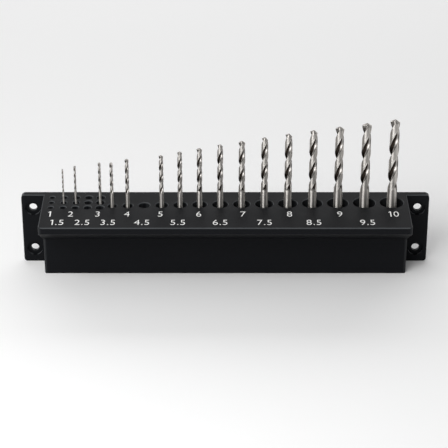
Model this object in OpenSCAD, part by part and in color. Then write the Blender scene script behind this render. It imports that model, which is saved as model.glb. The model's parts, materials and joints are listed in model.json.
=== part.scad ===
// Wall-mounted drill bit holder: one black moulding with 29 marked sockets, and the 16 twist drills in it.
// Millimetres. The origin is the centre of the rear face, +X runs to the right, +Y into the wall, +Z up.

/* [Holder body] */
// Width of the body, without the wall plate's ears
body_w = 163.25; // [157:0.25:200]
// Height of the body and of the wall plate
body_h = 34; // [32:0.5:45]
// Depth of the top, from the wall to the front edge
top_depth = 34.5; // [32:0.5:42]
// Depth of the block below the overhang, from the wall
block_depth = 14.5; // [14:0.5:24]
// Thickness of the overhang at its front edge
lip_edge = 3.2; // [1.6:0.1:4]
// Height of the slanted underside between that edge and the block
slope_h = 12.8; // [12:0.1:16]
// Rounding along the body's edges
edge_r = 0.6; // [0.3:0.1:0.7]
// Rounding of the body's upright corners
corner_r = 1.6; // [0.8:0.1:2.4]

/* [Wall plate] */
// Thickness of the wall plate
plate_t = 2.8; // [2.4:0.1:3.6]
// Width of the ear that stands out at each end of the body
ear_w = 10.25; // [10:0.25:18]
// Rounding of the plate's four corners
plate_corner_r = 2; // [1:0.25:3.5]
// Upright distance between the two screws of an ear
screw_spacing = 20.5; // [14:0.5:22]
// Diameter of the screw holes
screw_d = 3.6; // [3:0.1:5]
// Diameter of the counterbore for a screw's head
head_d = 7; // [6:0.1:8.5]
// Depth of the counterbore
head_depth = 1.2; // [0.8:0.1:1.6]

/* [Sockets] */
// Size marked at the first column of sockets
first_size = 1; // [0.8:0.05:1.4]
// Size marked at the last column, up to which the sizes grow evenly
last_size = 10; // [8:0.25:10.5]
// Land beyond the first socket
first_land = 3; // [2:0.1:5]
// Land beyond the last socket
last_land = 2.2; // [1.8:0.1:4]
// Distance between the columns of three sockets
triple_pitch = 5.45; // [5.2:0.05:6]
// What the distance between single sockets grows by from one to the next
pitch_growth = 0.45; // [0.35:0.01:0.5]
// What the smallest sockets are wider than the size marked at them
small_play = 1.3; // [0.6:0.05:1.4]
// What the single sockets are wider than the size marked at them
single_play = 0.5; // [0.2:0.05:0.9]
// Chamfer round a socket's rim
rim_chamfer = 0.35; // [0.1:0.05:0.5]
// Depth of a socket at its full width
mouth_depth = 9; // [6:0.5:9.5]
// Depth of the narrow seat at a socket's foot
seat_depth = 4; // [2.5:0.5:4.5]
// Gap all round a bit in its seat
seat_gap = 0.12; // [0.08:0.02:0.2]
// Distance from the wall to the front rims of the single row
rim_line = 15.25; // [14.75:0.25:16]
// Distance from the wall to the middle of the front one of the three rows
front_row = 14.9; // [14.5:0.1:15.2]
// Distance between the three rows
row_pitch = 4.9; // [4.7:0.05:5.1]

/* [Drill bits] */
// Diameter of the thinnest bit
thin_bit_d = 0.75; // [0.5:0.05:0.9]
// Diameter of the thickest bit
thick_bit_d = 4.3; // [3:0.1:6]
// Height of the shortest bit above the holder
short_bit_h = 16.5; // [14:0.5:24]
// Height of the longest bit above the holder
long_bit_h = 40.5; // [34:0.5:70]
// Height of the plain shank above the holder
shank_h = 5.5; // [2:0.5:8]
// Angle between a flute and the bit's axis
helix_angle = 27; // [20:1:35]
// Angle across the bit's point
point_angle = 118; // [110:1:140]
// Share of a bit's diameter that the web between the flutes keeps
web_share = 0.36; // [0.25:0.01:0.6]

/* [Hidden] */
$fn = 48;
eps = 0.01;

// The sockets stand in columns, counted from the left: the first few have three rows and the rest one
last_column = 18;
triple_columns = 5;
// The columns with a bit, which leaves those marked 1, 2.5 and 4.5 empty
bit_columns = [1, 2, 4, 5, 6, 8, 9, 10, 11, 12, 13, 14, 15, 16, 17, 18];
last_bit = len(bit_columns) - 1;

// The columns of three keep an even distance, which ends at the first single socket
first_x = -body_w / 2 + first_land + mouth_d(0) / 2;
single_x = first_x + triple_columns * triple_pitch;
last_x = body_w / 2 - last_land - mouth_d(last_column) / 2;
// The single sockets share the width that is left
single_steps = last_column - triple_columns;
single_pitch = (last_x - single_x) / single_steps;

top_z = body_h / 2;
plate_w = body_w + 2 * ear_w;
screw_x = (body_w + ear_w) / 2;
seat_z = top_z - mouth_depth - seat_depth;
slope_z = top_z - lip_edge - slope_h;

// A flute's section: its half width in degrees round the bit, and how far in it is halfway to its edge
flute_count = 2;
flute_half = 48;
flute_mid_share = 0.72;
// The section's corners for one flute: from edge to edge, then the middle of the land behind it
land_angle = 180 / flute_count;
section_angles = [-flute_half, -flute_half / 2, 0, flute_half / 2, flute_half, land_angle];
section_depths = [0, flute_mid_share, 1, flute_mid_share, 0, 0];
// Turn of a flute from one ring of the loft to the next
ring_turn = 24;
// What the fluted part is thinner than the shank, on the radius
body_relief = 0.02;
// Length over which the flutes run out into the shank, in bit diameters
run_out_share = 1.3;
// Width of the chisel edge at the point, in bit diameters
chisel_share = 0.12;

// The width of a column's sockets: the play shrinks along the columns of three
function marked_size(i) = first_size + i / last_column * (last_size - first_size);
function play(i) = single_play + max(1 - i / triple_columns, 0) * (small_play - single_play);
function mouth_d(i) = marked_size(i) + play(i);

// A column's place along the holder, and the distances of its rows from the wall
function single_run(k) = k * single_pitch - k * (single_steps - k) / 2 * pitch_growth;
function socket_x(i) = i < triple_columns
    ? first_x + i * triple_pitch
    : single_x + single_run(i - triple_columns);
function socket_rows(i) = i < triple_columns
    ? [front_row, front_row - row_pitch, front_row - 2 * row_pitch]
    : [rim_line - mouth_d(i) / 2];

// A bit stands in the middle row where its column has three, and otherwise in the only socket
function bit_row(i) = i < triple_columns ? front_row - row_pitch : rim_line - mouth_d(i) / 2;
// The bits grow evenly from each to the next, and an empty socket's seat is that of the next bit
function grade(i) = len([for (c = bit_columns) if (c < i) c]) / last_bit;
function bit_d(i) = thin_bit_d + grade(i) * (thick_bit_d - thin_bit_d);
function bit_h(i) = short_bit_h + grade(i) * (long_bit_h - short_bit_h);

function unit(v) = v / norm(v);
function clamp(x) = min(max(x, 0), 1);

// What lies outside a round of radius r on a corner, between its two neighbours
module corner_waste(before, corner, after, r) {
    u = unit(before - corner);
    v = unit(after - corner);
    half = acos(u * v) / 2;
    centre = corner + unit(u + v) * r / sin(half);
    difference() {
        polygon([corner + u * r / tan(half), corner - unit(u + v) * r, corner + v * r / tan(half), centre]);
        translate(centre) circle(r);
    }
}

// A polygon with a round on each corner whose radius isn't 0
module rounded(points, radii) {
    n = len(points);
    difference() {
        polygon(points);
        for (i = [0 : n - 1])
            if (radii[i] > 0)
                corner_waste(points[(i + n - 1) % n], points[i], points[(i + 1) % n], radii[i]);
    }
}

// A rectangle that is centred across and runs down from 0, with rounds on its lower and upper corners
module rounded_strip(w, depth, r, r_back) {
    rounded([[-w / 2, -depth], [w / 2, -depth], [w / 2, 0], [-w / 2, 0]], [r, r, r_back, r_back]);
}

// An outline drawn from the side, y forward from the wall and z up, run along the holder
module along_x(w) {
    rotate([90, 0, -90]) linear_extrude(w, center = true) children();
}

// An outline drawn from the front, run out from the wall
module from_wall(depth) {
    rotate([90, 0, 0]) linear_extrude(depth) children();
}

// The side of the body: a block, a slanted underside and an overhang with a thin front edge
module body_side() {
    rounded(
        [
            [0, -top_z],
            [block_depth, -top_z],
            [block_depth, slope_z],
            [top_depth, top_z - lip_edge],
            [top_depth, top_z],
            [0, top_z]
        ],
        [0, edge_r, 0, edge_r, edge_r, 0]
    );
}

module body() {
    intersection() {
        along_x(body_w) body_side();
        union() {
            linear_extrude(body_h, center = true) rounded_strip(body_w, block_depth, corner_r, 0);
            translate([0, 0, slope_z])
                linear_extrude(top_z - slope_z) rounded_strip(body_w, top_depth, corner_r, 0);
        }
        translate([0, 0, top_z]) from_wall(top_depth) rounded_strip(body_w, body_h, edge_r, edge_r);
    }
}

module wall_plate() {
    r = plate_corner_r;
    intersection() {
        translate([0, 0, top_z]) from_wall(plate_t) rounded_strip(plate_w, body_h, r, r);
        linear_extrude(body_h, center = true) rounded_strip(plate_w, plate_t, edge_r, 0);
        along_x(plate_w) rounded(
            [[0, -top_z], [plate_t, -top_z], [plate_t, top_z], [0, top_z]],
            [0, edge_r, edge_r, 0]
        );
    }
}

module screw_hole() {
    rotate([90, 0, 0]) {
        translate([0, 0, -eps]) cylinder(d = screw_d, h = plate_t + 2 * eps);
        translate([0, 0, plate_t - head_depth]) cylinder(d = head_d, h = head_depth + eps);
    }
}

// A socket from its rim down: a chamfer, the full width, and a close seat for a slender bit's end
module socket(i) {
    d = mouth_d(i);
    translate([0, 0, top_z - rim_chamfer])
        cylinder(d1 = d, d2 = d + 2 * (rim_chamfer + eps), h = rim_chamfer + eps);
    translate([0, 0, top_z - mouth_depth]) cylinder(d = d, h = mouth_depth);
    translate([0, 0, seat_z]) cylinder(d = bit_d(i) + 2 * seat_gap, h = seat_depth + eps);
}

module holder() {
    color("#26282a") difference() {
        union() {
            wall_plate();
            body();
        }
        for (x = [-screw_x, screw_x], z = [-screw_spacing / 2, screw_spacing / 2])
            translate([x, 0, z]) screw_hole();
        for (i = [0 : last_column], row = socket_rows(i))
            translate([socket_x(i), -row, 0]) socket(i);
    }
}

// One corner of the fluted part's loft, at height z: the flute's floor, cut by the cone of the point
function loft_corner(d, z, depth, turn, angle, flute, tip_z) =
    let (
        fluted = d / 2 * (1 - depth * flute * (1 - web_share)),
        cone = max((tip_z - z) * tan(point_angle / 2), 0) + d * chisel_share / 2,
        r = min(fluted, cone)
    )
    [r * cos(angle + turn), r * sin(angle + turn), z];

// The heights of the loft's rings: through the flutes at an even turn, then up the point
function loft_heights(d, z0, flute_z, tip_z, pitch) =
    let (
        point_h = d / 2 * (1 - chisel_share) / tan(point_angle / 2),
        rings = ceil((tip_z - point_h - flute_z) / pitch * 360 / ring_turn)
    )
    concat(
        [z0],
        [for (k = [0 : rings]) flute_z + k / rings * (tip_z - point_h - flute_z)],
        [for (k = [1 : 3]) tip_z - point_h * (1 - k / 3)]
    );

// The fluted part of a bit, lofted from ring to ring from z0, inside the shank, to the point
module fluted_part(d, z0, flute_z, tip_z) {
    pitch = PI * d / tan(helix_angle);
    heights = loft_heights(d, z0, flute_z, tip_z, pitch);
    rings = len(heights);
    sides = flute_count * len(section_angles);
    points = [
        for (z = heights)
            let (
                depth = clamp((z - flute_z) / (d * run_out_share)),
                turn = 360 * (z - flute_z) / pitch
            )
            for (f = [0 : flute_count - 1], k = [0 : len(section_angles) - 1])
                let (angle = section_angles[k] + 2 * f * land_angle)
                loft_corner(d, z, depth, turn, angle, section_depths[k], tip_z)
    ];
    faces = concat(
        [[for (k = [0 : sides - 1]) k]],
        [
            for (j = [0 : rings - 2], k = [0 : sides - 1])
                let (a = j * sides + k, b = j * sides + (k + 1) % sides)
                each [[a, a + sides, b], [b, a + sides, b + sides]]
        ],
        [[for (k = [sides - 1 : -1 : 0]) (rings - 1) * sides + k]]
    );
    polyhedron(points, faces);
}

// A bit in its socket: a plain shank with a chamfered foot on the seat's floor, and two right-hand flutes
module drill_bit(i) {
    d = bit_d(i);
    foot = d / 8;
    shank_z = top_z + shank_h;
    color("#b9bbbd") translate([socket_x(i), -bit_row(i), 0]) {
        rotate_extrude() polygon([
            [0, seat_z], [d / 2 - foot, seat_z], [d / 2, seat_z + foot], [d / 2, shank_z], [0, shank_z]
        ]);
        fluted_part(d - 2 * body_relief, shank_z - d / 2, shank_z, top_z + bit_h(i));
    }
}

holder();
for (k = [0 : len(bit_columns) - 1])
    drill_bit(bit_columns[k]);
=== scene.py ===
# Drill bit holder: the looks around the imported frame, with its numbers and its sixteen twist drills
import json
import math

import bmesh
import bpy
from mathutils import Matrix, Vector


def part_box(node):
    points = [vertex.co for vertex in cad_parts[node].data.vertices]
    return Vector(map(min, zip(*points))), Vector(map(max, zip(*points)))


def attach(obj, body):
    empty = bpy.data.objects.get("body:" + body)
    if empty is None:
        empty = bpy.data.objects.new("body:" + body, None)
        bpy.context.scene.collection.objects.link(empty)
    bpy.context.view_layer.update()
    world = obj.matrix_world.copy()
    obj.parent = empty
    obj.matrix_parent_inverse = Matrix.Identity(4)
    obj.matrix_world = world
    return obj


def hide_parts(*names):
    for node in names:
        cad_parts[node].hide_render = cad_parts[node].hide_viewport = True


MM = 0.001

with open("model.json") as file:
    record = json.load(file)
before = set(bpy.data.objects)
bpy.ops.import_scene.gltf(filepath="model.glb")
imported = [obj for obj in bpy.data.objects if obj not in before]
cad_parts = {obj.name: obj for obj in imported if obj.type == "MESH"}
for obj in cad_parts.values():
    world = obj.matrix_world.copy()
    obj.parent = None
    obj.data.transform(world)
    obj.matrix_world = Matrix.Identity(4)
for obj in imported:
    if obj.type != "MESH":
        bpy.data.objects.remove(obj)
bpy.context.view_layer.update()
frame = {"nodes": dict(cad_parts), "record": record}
scene = bpy.context.scene
scene.view_settings.view_transform = "Standard"

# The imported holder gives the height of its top, the line of its wall and the floor that it stands on
holder_low, holder_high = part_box("holder")
TOP_Z = holder_high.z
WALL_Y = holder_high.y
FLOOR_Z = holder_low.z

# The marked sizes, which also name the sockets and the bits
SIZES = [1 + i / 2 for i in range(19)]
EMPTY_SIZES = (1, 2.5, 4.5)
# The sockets up to this size come in columns of three
LAST_IN_THREES = 3


def size_name(size):
    return f"{size:g}".replace(".", "_")


def mount_place(name):
    return next(m["pos_m"] for m in frame["record"]["mounts"] if m["name"] == name)


def socket_x(size):
    """The place along the holder of the sockets that are marked with this size."""
    if size not in EMPTY_SIZES:
        low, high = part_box("drill_bit_" + size_name(size))
        return (low.x + high.x) / 2
    return mount_place("socket_" + size_name(size) + ("_front" if size <= LAST_IN_THREES else ""))[0]


# Materials

# Where most of a noise texture's values lie
NOISE_RANGE = (0.3, 0.7)
# The colour sockets of a mix node, which share their names with its other sockets
MIX_FIRST = 6
MIX_SECOND = 7
MIX_RESULT = 2
# How squarely a face turns to one of the three main ways, from flat to rounded
EDGE_FACING = (0.985, 0.92)
# How far a face turns upwards, from no painted edge highlight to the full one
HIGHLIGHT_RISE = (-0.1, 0.4)
# The steel's tones by the painted shading that the bits' meshes carry: pale lands, painted shade on a
# flute's lip side and a painted highlight before its heel
LAND_MARK = 0.04
PAINTED_SHADE_LEVEL = 0.2
PAINTED_HALF_SHADE_LEVEL = 0.5
PAINTED_HIGHLIGHT_LEVEL = 0.95
STEEL_TONES = [
    (LAND_MARK, "#d2cec9"),
    (PAINTED_SHADE_LEVEL, "#322b26"),
    (PAINTED_HALF_SHADE_LEVEL, "#5a534d"),
    (PAINTED_HIGHLIGHT_LEVEL, "#e4e0dc"),
]


def linear(hex_colour):
    """A colour written as sRGB hex, as linear red, green, blue and alpha."""
    channels = [int(hex_colour[i : i + 2], 16) / 255 for i in (1, 3, 5)]
    return [c / 12.92 if c <= 0.04045 else ((c + 0.055) / 1.055) ** 2.4 for c in channels] + [1.0]


def add_node(tree, kind, inputs=(), **settings):
    """Adds a node, sets its properties, and sets or links its inputs by name or number."""
    node = tree.nodes.new(kind)
    for key, value in settings.items():
        setattr(node, key, value)
    for key, value in dict(inputs).items():
        if isinstance(value, bpy.types.NodeSocket):
            tree.links.new(value, node.inputs[key])
        else:
            node.inputs[key].default_value = value
    return node


def noise(tree, place, size, detail, roughness=0.5):
    """A noise texture whose blotches are about this size across."""
    inputs = {"Vector": place, "Scale": 1 / size, "Detail": detail, "Roughness": roughness}
    return add_node(tree, "ShaderNodeTexNoise", inputs).outputs["Fac"]


def spread(tree, value, source, target=(0.0, 1.0)):
    """A value mapped from one range to another."""
    inputs = {"Value": value, "From Min": source[0], "From Max": source[1]}
    inputs.update({"To Min": target[0], "To Max": target[1]})
    return add_node(tree, "ShaderNodeMapRange", inputs).outputs["Result"]


def tone_ramp(tree, value, stops):
    """A colour that follows a value, from stops that each have a position and a tone."""
    node = add_node(tree, "ShaderNodeValToRGB", {"Fac": value})
    elements = node.color_ramp.elements
    for i in (0, -1):
        elements[i].position = stops[i][0]
        elements[i].color = linear(stops[i][1])
    for position, tone in stops[1:-1]:
        elements.new(position).color = linear(tone)
    return node.outputs["Color"]


def new_material(name):
    """An empty node material, with its tree and its surface output."""
    material = bpy.data.materials.new(name)
    material.use_nodes = True
    tree = material.node_tree
    tree.nodes.clear()
    return material, tree, add_node(tree, "ShaderNodeOutputMaterial")


def add_shader(tree, output, inputs):
    """Ends a material's tree in a principled shader."""
    shader = add_node(tree, "ShaderNodeBsdfPrincipled", inputs)
    tree.links.new(shader.outputs["BSDF"], output.inputs["Surface"])


def painted_edge_highlight(tree):
    """A mask for the painted highlight on rounded edges and rims: they face none of the three main ways,
    and it grows where they face upwards.
    """
    normal = add_node(tree, "ShaderNodeNewGeometry").outputs["Normal"]
    facing = add_node(tree, "ShaderNodeVectorMath", {0: normal}, operation="ABSOLUTE").outputs["Vector"]
    facing = add_node(tree, "ShaderNodeSeparateXYZ", {"Vector": facing}).outputs
    level = add_node(tree, "ShaderNodeMath", {0: facing["X"], 1: facing["Y"]}, operation="MAXIMUM")
    level = level.outputs["Value"]
    level = add_node(tree, "ShaderNodeMath", {0: level, 1: facing["Z"]}, operation="MAXIMUM")
    edge = spread(tree, level.outputs["Value"], EDGE_FACING)
    rise = add_node(tree, "ShaderNodeSeparateXYZ", {"Vector": normal}).outputs["Z"]
    facing_up = spread(tree, rise, HIGHLIGHT_RISE)
    mask = add_node(tree, "ShaderNodeMath", {0: edge, 1: facing_up}, operation="MULTIPLY")
    return mask.outputs["Value"]


def moulded_black_abs():
    """Black ABS from a spark-eroded mould.

    It has a fine matt grain, hardly any gloss, and a painted highlight: a paler tone on its rounded edges
    that face upwards.
    """
    material, tree, output = new_material("moulded_black_abs")
    place = add_node(tree, "ShaderNodeTexCoord").outputs["Object"]
    # The mould's grain is about 0.35 mm across, and the broad cloudiness in its gloss about 18 mm
    grain = noise(tree, place, 0.35 * MM, detail=3.0, roughness=0.6)
    cloud = noise(tree, place, 18 * MM, detail=2.0)
    tone = tone_ramp(tree, grain, [(0.3, "#101113"), (0.72, "#16171a")])
    bump = add_node(tree, "ShaderNodeBump", {"Height": grain, "Strength": 0.25, "Distance": 0.03 * MM})
    # Rounded edges that face upwards take a paler tone as a painted highlight
    tones = {"Factor": painted_edge_highlight(tree), MIX_FIRST: tone, MIX_SECOND: linear("#47494b")}
    highlighted = add_node(tree, "ShaderNodeMix", tones, data_type="RGBA")
    inputs = {
        "Base Color": highlighted.outputs[MIX_RESULT],
        "Roughness": spread(tree, cloud, NOISE_RANGE, (0.42, 0.5)),
        "IOR": 1.53,
        "Specular IOR Level": 0.05,
        "Normal": bump.outputs["Normal"],
    }
    add_shader(tree, output, inputs)
    return material


def ground_tool_steel():
    """High-speed steel ground bright.

    Its lands and shanks are pale, and its flutes carry painted shade on the lip side and a painted
    highlight towards the heel.
    """
    material, tree, output = new_material("ground_tool_steel")
    place = add_node(tree, "ShaderNodeTexCoord").outputs["Object"]
    painted_shading = add_node(tree, "ShaderNodeAttribute", attribute_name="painted_flute_shading").outputs["Fac"]
    # Grinding lines lie across the axis, about 0.12 mm apart and 1.5 mm long
    line_scale = (1 / (1.5 * MM), 1 / (1.5 * MM), 1 / (0.12 * MM))
    line_place = add_node(tree, "ShaderNodeMapping", {"Vector": place, "Scale": line_scale})
    lines = noise(tree, line_place.outputs["Vector"], 1.0, detail=2.0)
    bump = add_node(tree, "ShaderNodeBump", {"Height": lines, "Strength": 0.08, "Distance": 0.01 * MM})
    inputs = {
        # The base colour carries the flutes' painted shade and painted highlight
        "Base Color": tone_ramp(tree, painted_shading, STEEL_TONES),
        "Metallic": 1.0,
        "Roughness": spread(tree, lines, NOISE_RANGE, (0.4, 0.47)),
        "Specular Tint": linear("#000000"),
        "Anisotropic": 0.95,
        "Anisotropic Rotation": 0.25,
        "Normal": bump.outputs["Normal"],
    }
    add_shader(tree, output, inputs)
    return material


def white_printing_ink():
    """Opaque white pad-printing ink: a thin, slightly uneven satin film."""
    material, tree, output = new_material("white_printing_ink")
    place = add_node(tree, "ShaderNodeTexCoord").outputs["Object"]
    # The film is uneven over about 0.5 mm
    film = noise(tree, place, 0.5 * MM, detail=2.0)
    tone = tone_ramp(tree, film, [(0.3, "#e6e6e4"), (0.65, "#f6f6f4")])
    add_shader(tree, output, {"Base Color": tone, "Roughness": 0.5, "IOR": 1.5})
    return material


def pale_studio_paper():
    """White paper under soft light: it takes the shadows and is plain and pale around them."""
    material, tree, output = new_material("pale_studio_paper")
    inputs = {"Base Color": linear("#fbfbfb"), "Roughness": 0.9, "Specular IOR Level": 0.1}
    add_shader(tree, output, inputs)
    return material


ABS = moulded_black_abs()
STEEL = ground_tool_steel()
INK = white_printing_ink()
PAPER = pale_studio_paper()

# Vertices closer than this are one
MERGE_DISTANCE = 0.5e-6
# Edges that turn by more than this stay sharp, in degrees
SHARP_ANGLE = 30
BIT_SHARP_ANGLE = 32


def finish_mesh(bm, name, material, sharp_angle):
    """Closes a bmesh into a smooth-shaded object whose edges stay sharp above an angle."""
    bmesh.ops.remove_doubles(bm, verts=bm.verts[:], dist=MERGE_DISTANCE)
    bmesh.ops.recalc_face_normals(bm, faces=bm.faces[:])
    for face in bm.faces:
        face.smooth = True
    mesh = bpy.data.meshes.new(name)
    bm.to_mesh(mesh)
    bm.free()
    mesh.set_sharp_from_angle(angle=math.radians(sharp_angle))
    mesh.materials.append(material)
    piece = bpy.data.objects.new(name, mesh)
    scene.collection.objects.link(piece)
    return piece


# Holder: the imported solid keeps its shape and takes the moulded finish
holder = frame["nodes"]["holder"]
holder.data.materials.clear()
holder.data.materials.append(ABS)

# Printed numbers
# How far in front of the wall the two rows of numbers have their middles
WHOLE_ROW = 21.35 * MM
HALF_ROW = 29.2 * MM
FIGURE_H = 4.8 * MM
FIGURE_NARROW = 0.78
FILM = 0.05 * MM
# The numbers that stand beside the middle of their sockets, and how far to the right, in millimetres
NUMBER_SHIFTS = {
    1.5: -1.6, 2: -1.6, 2.5: -1.5, 3: -0.6, 3.5: -1.1, 4.5: -0.5, 5: -0.35,
    5.5: -0.7, 6: -0.3, 7: 0.5, 7.5: -0.2, 8: 0.5, 9: 0.35, 9.5: 0.25,
}
# Share of the type size that a figure of the built-in font is tall
FONT_FIGURE_SHARE = 0.691
# The figures' spacing, how much their strokes are thinned, and the steps in their curves
FIGURE_SPACING = 1.08
STROKE_OFFSET = -0.008
CURVE_STEPS = 6
FIGURE_MERGE = 1e-7
# A 1 with a short flag and no foot, in units of the type size, and the room that it takes
ONE_OUTLINE = [
    (0.11, 0), (0.206, 0), (0.206, 0.691), (0.125, 0.691), (-0.025, 0.605), (0.012, 0.525), (0.11, 0.578),
]
ONE_ADVANCE = 0.35


def flat_mesh(curve):
    """The filled area of a flat curve or text as a mesh."""
    outline = bpy.data.objects.new("outline", curve)
    scene.collection.objects.link(outline)
    bpy.context.view_layer.update()
    mesh = bpy.data.meshes.new_from_object(outline)
    bpy.data.objects.remove(outline)
    return mesh


def figure_one():
    curve = bpy.data.curves.new("figure_one", "CURVE")
    curve.dimensions = "2D"
    curve.fill_mode = "BOTH"
    spline = curve.splines.new("POLY")
    spline.points.add(len(ONE_OUTLINE) - 1)
    for point, (x, y) in zip(spline.points, ONE_OUTLINE):
        point.co = (x, y, 0, 1)
    spline.use_cyclic_u = True
    return flat_mesh(curve)


def figures(text):
    curve = bpy.data.curves.new("figures", "FONT")
    curve.body = text
    curve.space_character = FIGURE_SPACING
    curve.offset = STROKE_OFFSET
    curve.resolution_u = CURVE_STEPS
    return flat_mesh(curve)


def add_flat(bm, mesh, shift):
    """Adds a flat mesh to a bmesh, moved along by a shift."""
    mesh.transform(Matrix.Translation((shift, 0, 0)))
    bm.from_mesh(mesh)
    bpy.data.meshes.remove(mesh)


def add_number(bm, size):
    """Adds the number of one size to a bmesh, flat and in its place on the holder's top."""
    text = f"{size:g}"
    part = bmesh.new()
    if text[0] == "1":
        add_flat(part, figure_one(), 0)
        if text[1:]:
            add_flat(part, figures(text[1:]), ONE_ADVANCE)
    else:
        add_flat(part, figures(text), 0)
    xs = [v.co.x for v in part.verts]
    middle = (min(xs) + max(xs)) / 2
    type_size = FIGURE_H / FONT_FIGURE_SHARE
    row = WHOLE_ROW if size == int(size) else HALF_ROW
    x = socket_x(size) + NUMBER_SHIFTS.get(size, 0) * MM
    bmesh.ops.translate(part, vec=(-middle, 0, 0), verts=part.verts[:])
    bmesh.ops.scale(part, vec=(type_size * FIGURE_NARROW, type_size, 1), verts=part.verts[:])
    bmesh.ops.translate(part, vec=(x, WALL_Y - row - FIGURE_H / 2, TOP_Z + FILM / 2), verts=part.verts[:])
    placed = bpy.data.meshes.new("number")
    part.to_mesh(placed)
    part.free()
    add_flat(bm, placed, 0)


def printed_numbers():
    bm = bmesh.new()
    for size in SIZES:
        add_number(bm, size)
    bmesh.ops.remove_doubles(bm, verts=bm.verts[:], dist=FIGURE_MERGE)
    bmesh.ops.solidify(bm, geom=bm.faces[:], thickness=FILM)
    return finish_mesh(bm, "printed_numbers", INK, SHARP_ANGLE)


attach(printed_numbers(), "holder")

# Twist drills
# Vertices of a ring, and the turn from one ring to the next on the helix, in degrees
RING = 90
RING_TURN = 6
POINT_RINGS = 5
# Heights that differ by less than this are one
LEVEL_TOLERANCE = 1e-7
HELIX_ANGLE = math.radians(27)
POINT_HALF = math.radians(59)
# Arcs of the section, in degrees, which it has twice
LAND_ARC = 92
MARGIN_ARC = 12
FLUTE_ARC = 180 - LAND_ARC
# Below 1, the flute is deepest near the lip; the lower its fullness, the steeper its walls
LIP_HOOK = 0.75
FLUTE_FULLNESS = 0.5
# Share of the flute's arc behind the lip, and the painted shading there: painted shade on the lip side and
# a painted highlight before the heel
PAINTED_FLUTE_SHADES = [(0, PAINTED_SHADE_LEVEL), (0.42, 0.24), (0.68, 0.46), (0.8, 0.9), (0.9, 1.0), (1, PAINTED_HALF_SHADE_LEVEL)]
# Shares of the bit's radius
WEB_SHARE = 0.42
CLEARANCE_SHARE = 0.035
FOOT_SHARE = 0.25
CHISEL_SHARE = 0.13
RELIEF_SHARE = 0.16
# Length over which the flutes run out, as a share of the bit's diameter
RUN_OUT_SHARE = 1.6
# Share of its full cut below which a flute has run out into the shank
RUN_OUT_END = 0.05
# Share of its full cut from which a flute's lip side is fully in shade
FULL_SHADE = 0.6
# How much of a flute's dark side is lost at the point, where no land shades it
POINT_LIGHT = 0.7
SHANK_ABOVE = 5.5 * MM
# Height above the holder at which a flute of each bit faces the front, in millimetres
FLUTE_HEIGHTS = {
    1.5: 8, 2: 7.5, 3: 8, 3.5: 7, 4: 7.5, 5: 7.6, 5.5: 7.4, 6: 6.8,
    6.5: 7.3, 7: 14.8, 7.5: 6.9, 8: 6.4, 8.5: 17.1, 9: 16.2, 9.5: 15.6, 10: 17,
}
# The front's direction round the vertical, in degrees
FRONT = -90


def flute_share(angle):
    """How deep the flutes are at an angle behind a lip, in degrees: 0 on the lands and 1 at the web."""
    ahead = angle % 180 / FLUTE_ARC
    if ahead >= 1:
        return 0.0
    return math.sin(math.pi * ahead**LIP_HOOK) ** FLUTE_FULLNESS


def painted_flute_shading(angle):
    """The painted shading across a flute: painted shade on the lip side, lighter painted shade after it,
    and a painted highlight before the heel.
    """
    ahead = angle % 180 / FLUTE_ARC
    if ahead >= 1:
        return 0.0
    for (start, low), (end, high) in zip(PAINTED_FLUTE_SHADES, PAINTED_FLUTE_SHADES[1:]):
        if ahead <= end:
            return low + (high - low) * (ahead - start) / (end - start)


def clearance_share(angle):
    """1 on the ground-back part of a land and 0 on its margin."""
    behind = 180 - angle % 180
    return 1.0 if MARGIN_ARC < behind < LAND_ARC + 1 else 0.0


def relief_share(angle):
    """How far the point's flank has fallen behind the lip: 0 at a lip and 1 at a heel."""
    ahead = angle % 180
    return ahead / FLUTE_ARC if ahead < FLUTE_ARC else (180 - ahead) / LAND_ARC


def ease(x):
    """A smooth step from 0 to 1."""
    x = min(max(x, 0.0), 1.0)
    return x * x * (3 - 2 * x)


def ring_edges(bm, z):
    return [e for e in bm.edges if all(abs(v.co.z - z) < LEVEL_TOLERANCE for v in e.verts)]


def grow_ring(bm, edges, rise, scale):
    """Extrudes an open ring of edges upwards, widened or narrowed, and returns the new ring."""
    new = bmesh.ops.extrude_edge_only(bm, edges=edges)["geom"]
    verts = [v for v in new if isinstance(v, bmesh.types.BMVert)]
    bmesh.ops.translate(bm, vec=(0, 0, rise), verts=verts)
    bmesh.ops.scale(bm, vec=(scale, scale, 1), verts=verts)
    return [e for e in new if isinstance(e, bmesh.types.BMEdge)]


def add_rod(bm, radius, foot_z, flute_z, lip_z, point_h, turn):
    """Adds a plain rod with a chamfered foot, whose rings turn with the helix up to the lips."""
    foot = radius * FOOT_SHARE
    bmesh.ops.create_circle(bm, cap_ends=True, segments=RING, radius=radius - foot)
    bmesh.ops.translate(bm, vec=(0, 0, foot_z), verts=bm.verts[:])
    edges = grow_ring(bm, bm.edges[:], foot, radius / (radius - foot))
    edges = grow_ring(bm, edges, flute_z - foot_z - foot, 1)
    steps = math.ceil(turn / RING_TURN)
    bmesh.ops.spin(
        bm,
        geom=edges,
        cent=(0, 0, 0),
        axis=(0, 0, 1),
        dvec=(0, 0, (lip_z - flute_z) / steps),
        angle=math.radians(turn),
        steps=steps,
        use_duplicate=False,
    )
    edges = ring_edges(bm, lip_z)
    for _ in range(POINT_RINGS):
        edges = grow_ring(bm, edges, point_h / POINT_RINGS, 1)
    bmesh.ops.contextual_create(bm, geom=edges)


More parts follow.
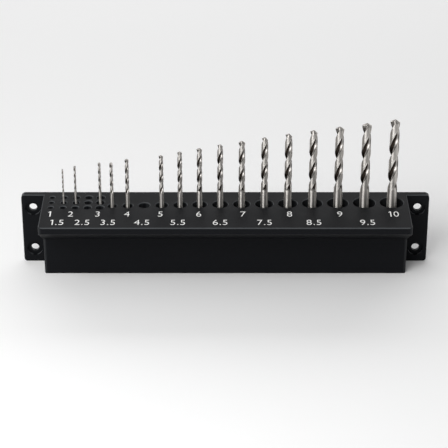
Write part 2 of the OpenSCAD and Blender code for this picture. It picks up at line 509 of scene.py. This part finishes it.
def drill_bit(size, flute_height):
    """A twist drill in its socket, turned so that a flute faces the front at a height above the holder."""
    node = "drill_bit_" + size_name(size)
    low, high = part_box(node)
    radius = (high.x - low.x) / 2
    pitch = 2 * math.pi * radius / math.tan(HELIX_ANGLE)
    flute_z = TOP_Z + SHANK_ABOVE
    point_h = radius * (1 - CHISEL_SHARE) / math.tan(POINT_HALF)
    lip_z = high.z - point_h
    turn = 360 * (lip_z - flute_z) / pitch
    flute_turn = 360 * (flute_height - SHANK_ABOVE) / pitch
    start_turn = FRONT - FLUTE_ARC / 2 - flute_turn
    run_out = 2 * radius * RUN_OUT_SHARE

    bm = bmesh.new()
    shading_layer = bm.verts.layers.float.new("painted_flute_shading")
    add_rod(bm, radius, low.z, flute_z, lip_z, point_h, turn)
    # The section follows the helix, and the point's cone cuts it off
    for vert in bm.verts:
        z = vert.co.z
        if z < flute_z + LEVEL_TOLERANCE:
            continue
        twist = turn * min((z - flute_z) / (lip_z - flute_z), 1)
        angle = math.degrees(math.atan2(vert.co.y, vert.co.x)) - twist
        cut = ease((z - flute_z) / run_out)
        depth = flute_share(angle) * cut
        back = clearance_share(angle) * ease((z - flute_z) / (2 * radius))
        section = radius * (1 - depth * (1 - WEB_SHARE) - back * CLEARANCE_SHARE)
        cone = radius * CHISEL_SHARE + (high.z - z) * math.tan(POINT_HALF)
        wide = min(section, cone)
        on_point = z > lip_z - LEVEL_TOLERANCE
        fall = RELIEF_SHARE * radius * relief_share(angle) * (wide / radius) if on_point else 0
        scale = wide / math.hypot(vert.co.x, vert.co.y)
        vert.co = (vert.co.x * scale, vert.co.y * scale, z - fall)
        # The painted shade and highlight across the flute, with the painted shade fading where the flute
        # runs out and towards the point
        painted_shading = painted_flute_shading(angle) if cut > RUN_OUT_END else 0.0
        if painted_shading < PAINTED_HALF_SHADE_LEVEL:
            painted_shading *= ease(cut / FULL_SHADE) * (1 - POINT_LIGHT * ease(1 + (z - lip_z) / (2 * radius)))
        vert[shading_layer] = painted_shading
    bmesh.ops.rotate(bm, matrix=Matrix.Rotation(math.radians(start_turn), 3, "Z"), verts=bm.verts[:])
    bmesh.ops.translate(bm, vec=((low.x + high.x) / 2, (low.y + high.y) / 2, 0), verts=bm.verts[:])
    piece = finish_mesh(bm, "twist_drill_" + size_name(size), STEEL, BIT_SHARP_ANGLE)
    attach(piece, "bit_" + size_name(size))
    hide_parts(node)


for size, flute_height in FLUTE_HEIGHTS.items():
    drill_bit(size, flute_height * MM)

# Floor
FLOOR_SIZE = 6.0
floor_bm = bmesh.new()
bmesh.ops.create_grid(floor_bm, x_segments=1, y_segments=1, size=FLOOR_SIZE / 2)
bmesh.ops.translate(floor_bm, vec=(0, 0, FLOOR_Z), verts=floor_bm.verts[:])
finish_mesh(floor_bm, "floor", PAPER, SHARP_ANGLE)

# Light and camera
# The point that the lamps and the camera face
AIM = Vector((-0.56 * MM, -15 * MM, TOP_Z - 8.35 * MM))


def soft_light(name, place, width, depth, watts):
    lamp = bpy.data.lights.new(name, "AREA")
    lamp.shape = "RECTANGLE"
    lamp.size = width
    lamp.size_y = depth
    lamp.energy = watts
    light = bpy.data.objects.new(name, lamp)
    scene.collection.objects.link(light)
    light.visible_camera = False
    light.location = place
    light.rotation_euler = (AIM - Vector(place)).to_track_quat("-Z", "Y").to_euler()


soft_light("overhead", place=(0, 0.72, 0.5), width=1.6, depth=0.5, watts=4.7)
soft_light("left_key", place=(-0.3, -0.45, 0.42), width=0.5, depth=0.4, watts=3.8)
soft_light("right_fill", place=(0.47, -0.1, 0.14), width=0.25, depth=0.2, watts=0.25)

# The room is bright at the front left and dim behind
BRIGHT_WAY = (-0.75, -0.6, 0.28)
ROOM_FACING = (-0.8, 0.8)
ROOM_LEVEL = (0.08, 0.35)
world = bpy.data.worlds.new("studio")
scene.world = world
world.use_nodes = True
tree = world.node_tree
tree.nodes.clear()
way = add_node(tree, "ShaderNodeTexCoord").outputs["Generated"]
facing = add_node(tree, "ShaderNodeVectorMath", {0: way, 1: BRIGHT_WAY}, operation="DOT_PRODUCT")
level = spread(tree, facing.outputs["Value"], ROOM_FACING, ROOM_LEVEL)
room = add_node(tree, "ShaderNodeBackground", {"Color": linear("#ffffff"), "Strength": level})
add_node(tree, "ShaderNodeOutputWorld", {"Surface": room.outputs["Background"]})

CAMERA_DISTANCE = 830.3 * MM
CAMERA_ELEVATION = math.radians(27.91)
# The sensor and the lens are in millimetres, as the camera takes them
SENSOR_WIDTH = 36
LENS = 149.7
CLIP_START = 10 * MM
camera_data = bpy.data.cameras.new("camera")
camera_data.sensor_width = SENSOR_WIDTH
camera_data.lens = LENS
camera_data.clip_start = CLIP_START
camera = bpy.data.objects.new("camera", camera_data)
scene.collection.objects.link(camera)
toward_camera = Vector((0, -math.cos(CAMERA_ELEVATION), math.sin(CAMERA_ELEVATION)))
camera.location = AIM + CAMERA_DISTANCE * toward_camera
camera.rotation_euler = (math.pi / 2 - CAMERA_ELEVATION, 0, 0)
scene.camera = camera
